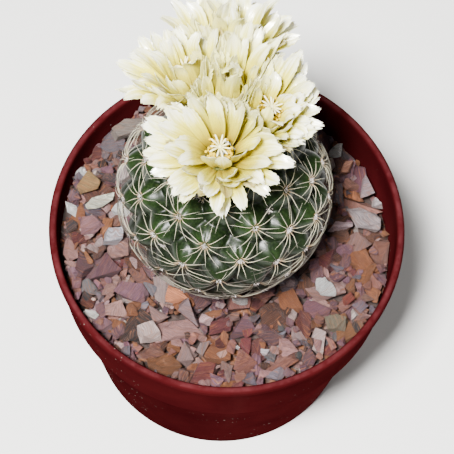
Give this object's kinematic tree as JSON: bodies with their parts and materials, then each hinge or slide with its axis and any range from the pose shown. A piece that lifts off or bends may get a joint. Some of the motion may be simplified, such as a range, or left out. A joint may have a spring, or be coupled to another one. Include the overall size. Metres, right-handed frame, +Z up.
{
  "type": "potted coryphantha cactus",
  "caption": "Near-globular spiny cactus with a crown of open cream blooms, in a round plastic pot of soil topped with angular stone chips.",
  "frame": {"origin": "centre of the pot's base, on the surface that the pot stands on", "axes": "+Z up along the pot's axis; -Y is the side toward the viewer, +X is to the viewer's right"},
  "size_m": [0.1, 0.1, 0.1549],
  "materials": {
    "pot_plastic": "moulded dark red plastic, matte, a little scuffed along the lip",
    "soil_dark": "dark, crumbly, matte",
    "stone_chips": "angular chips in pinks, tans, mauves and off-white, dry and matte",
    "cactus_skin": "dark green waxy skin with a soft gloss, pale spines and wool",
    "petal_cream": "satin cream-yellow, nearly white at the tips",
    "pollen_yellow": "matte golden yellow",
    "stigma_cream": "matte cream-white"
  },
  "bodies": {
    "root": {"pot": "pot_plastic", "soil": "soil_dark", "gravel": "stone_chips", "stem": "cactus_skin", "flower_front": "petal_cream", "stamens_front": "pollen_yellow", "stigma_front": "stigma_cream", "flower_left": "petal_cream", "stamens_left": "pollen_yellow", "stigma_left": "stigma_cream", "flower_back": "petal_cream", "stamens_back": "pollen_yellow", "stigma_back": "stigma_cream", "flower_middle": "petal_cream", "stamens_middle": "pollen_yellow", "stigma_middle": "stigma_cream", "flower_right": "petal_cream", "stamens_right": "pollen_yellow", "stigma_right": "stigma_cream"}
  },
  "joints": []
}
